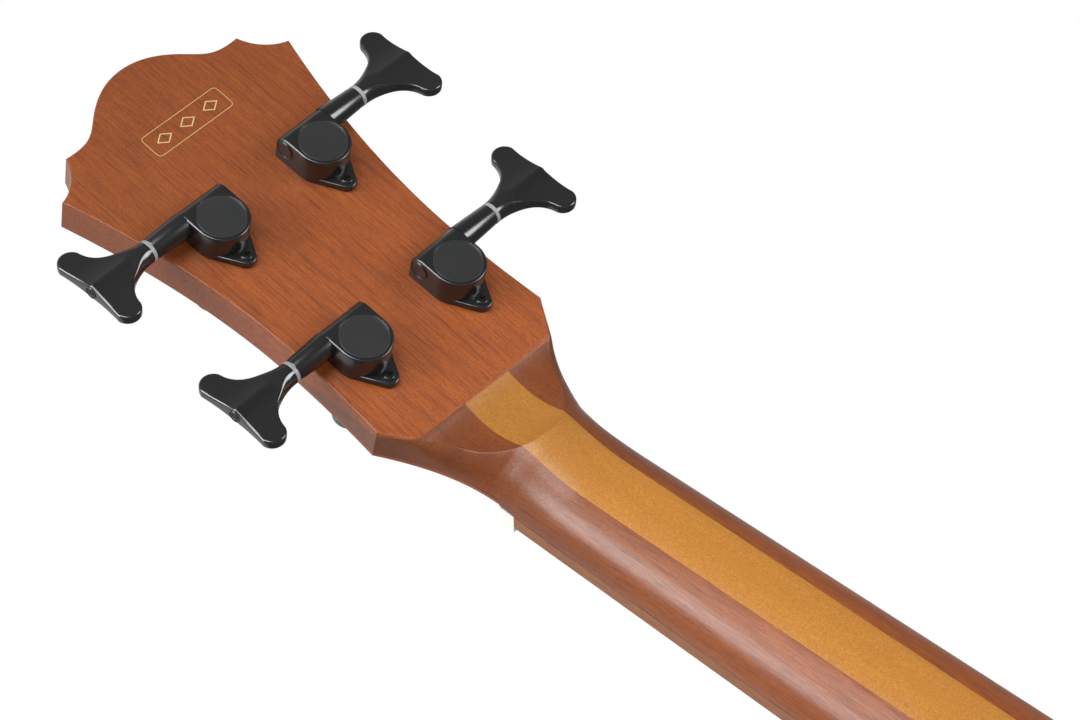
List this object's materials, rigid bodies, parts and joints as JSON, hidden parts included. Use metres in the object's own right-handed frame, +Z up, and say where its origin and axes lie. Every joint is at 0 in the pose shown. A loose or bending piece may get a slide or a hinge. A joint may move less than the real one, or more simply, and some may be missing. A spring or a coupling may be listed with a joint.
{
  "type": "acoustic bass guitar",
  "caption": "Four-string acoustic bass guitar with a hollow cutaway body, laminated neck, tilted headstock and sealed worm-drive tuners.",
  "frame": {"origin": "middle of the nut's fretboard face, on the glue plane between neck and fretboard", "axes": "+Z up along the neck towards the headstock, -Y out of the soundboard on the player's side, +Y out of the back, -X the bass side, +X the treble side"},
  "size_m": [0.4, 0.1144, 1.2005],
  "materials": {
    "mahogany": "satin, reddish brown, straight grain with fine dark pores",
    "maple": "satin, amber",
    "spruce": "satin, fine straight grain",
    "fretboard_wood": "oiled, brown, fine dark pores",
    "rosewood": "oiled, open pored",
    "bone": "smooth, off-white",
    "black_metal": "black, satin cast metal",
    "washer_grey": "grey, smooth",
    "steel": "bare, machined",
    "bronze": "wound wire",
    "black_plastic": "black, fine texture"
  },
  "bodies": {
    "instrument": {"soundboard": "spruce", "back": "mahogany", "rim": "mahogany", "neck_block": "mahogany", "tail_block": "mahogany", "top_lining": "spruce", "back_lining": "spruce", "top_braces": "spruce", "back_braces": "spruce", "bridge": "rosewood", "saddle": "bone", "bridge_plate": "maple", "headstock": "mahogany", "neck_centre_strip": "maple", "neck_wing_bass": "mahogany", "neck_wing_treble": "mahogany", "headstock_veneer": "rosewood", "truss_rod": "steel", "truss_rod_cover": "black_plastic", "fretboard": "fretboard_wood", "nut": "bone", "heel_strap_button": "black_metal", "end_pin_jack": "black_metal", "preamp": "black_plastic", "e_string": "bronze", "a_string": "bronze", "d_string": "bronze", "g_string": "bronze", "e_tuner_housing": "black_metal", "e_tuner_gear_cap": "black_metal", "e_tuner_bushing": "black_metal", "a_tuner_housing": "black_metal", "a_tuner_gear_cap": "black_metal", "a_tuner_bushing": "black_metal", "d_tuner_housing": "black_metal", "d_tuner_gear_cap": "black_metal", "d_tuner_bushing": "black_metal", "g_tuner_housing": "black_metal", "g_tuner_gear_cap": "black_metal", "g_tuner_bushing": "black_metal"},
    "e_tuner_knob": {"e_tuner_worm": "steel", "e_tuner_button": "black_metal", "e_tuner_collar": "washer_grey"},
    "e_tuner_string_post": {"e_tuner_post": "black_metal"},
    "a_tuner_knob": {"a_tuner_worm": "steel", "a_tuner_button": "black_metal", "a_tuner_collar": "washer_grey"},
    "a_tuner_string_post": {"a_tuner_post": "black_metal"},
    "d_tuner_knob": {"d_tuner_worm": "steel", "d_tuner_button": "black_metal", "d_tuner_collar": "washer_grey"},
    "d_tuner_string_post": {"d_tuner_post": "black_metal"},
    "g_tuner_knob": {"g_tuner_worm": "steel", "g_tuner_button": "black_metal", "g_tuner_collar": "washer_grey"},
    "g_tuner_string_post": {"g_tuner_post": "black_metal"},
    "volume_knob_body": {"volume_knob": "black_plastic"},
    "bass_tone_knob_body": {"bass_tone_knob": "black_plastic"},
    "treble_tone_knob_body": {"treble_tone_knob": "black_plastic"}
  },
  "joints": [
    {"name": "e_tuner_knob_turn", "type": "hinge", "parent": "instrument", "child": "e_tuner_knob", "pos_m": [-0.0218, 0.03756, 0.07067], "axis": [-1, 0, 0], "continuous": true},
    {"name": "e_tuner_post_turn", "type": "hinge", "parent": "instrument", "child": "e_tuner_string_post", "pos_m": [-0.0218, 0.02911, 0.06465], "axis": [0, 0.975, -0.2224], "continuous": true},
    {"name": "a_tuner_knob_turn", "type": "hinge", "parent": "instrument", "child": "a_tuner_knob", "pos_m": [-0.0232, 0.05155, 0.13199], "axis": [-1, 0, 0], "continuous": true},
    {"name": "a_tuner_post_turn", "type": "hinge", "parent": "instrument", "child": "a_tuner_string_post", "pos_m": [-0.0232, 0.0431, 0.12597], "axis": [0, 0.975, -0.2224], "continuous": true},
    {"name": "d_tuner_knob_turn", "type": "hinge", "parent": "instrument", "child": "d_tuner_knob", "pos_m": [0.0232, 0.05155, 0.13199], "axis": [1, 0, 0], "continuous": true},
    {"name": "d_tuner_post_turn", "type": "hinge", "parent": "instrument", "child": "d_tuner_string_post", "pos_m": [0.0232, 0.0431, 0.12597], "axis": [0, 0.975, -0.2224], "continuous": true},
    {"name": "g_tuner_knob_turn", "type": "hinge", "parent": "instrument", "child": "g_tuner_knob", "pos_m": [0.0218, 0.03756, 0.07067], "axis": [1, 0, 0], "continuous": true},
    {"name": "g_tuner_post_turn", "type": "hinge", "parent": "instrument", "child": "g_tuner_string_post", "pos_m": [0.0218, 0.02911, 0.06465], "axis": [0, 0.975, -0.2224], "continuous": true},
    {"name": "volume_knob_turn", "type": "hinge", "parent": "instrument", "child": "volume_knob_body", "pos_m": [-0.14521, 0.0415, -0.6242], "axis": [-0.9306, 0, -0.3661], "range_deg": [-150, 150]},
    {"name": "bass_tone_knob_turn", "type": "hinge", "parent": "instrument", "child": "bass_tone_knob_body", "pos_m": [-0.13825, 0.0415, -0.64188], "axis": [-0.9306, 0, -0.3661], "range_deg": [-150, 150]},
    {"name": "treble_tone_knob_turn", "type": "hinge", "parent": "instrument", "child": "treble_tone_knob_body", "pos_m": [-0.1313, 0.0415, -0.65956], "axis": [-0.9306, 0, -0.3661], "range_deg": [-150, 150]}
  ],
  "couplings": [
    {"joint": "e_tuner_post_turn", "follows": "e_tuner_knob_turn", "ratio": -0.05},
    {"joint": "a_tuner_post_turn", "follows": "a_tuner_knob_turn", "ratio": -0.05},
    {"joint": "d_tuner_post_turn", "follows": "d_tuner_knob_turn", "ratio": -0.05},
    {"joint": "g_tuner_post_turn", "follows": "g_tuner_knob_turn", "ratio": -0.05}
  ]
}
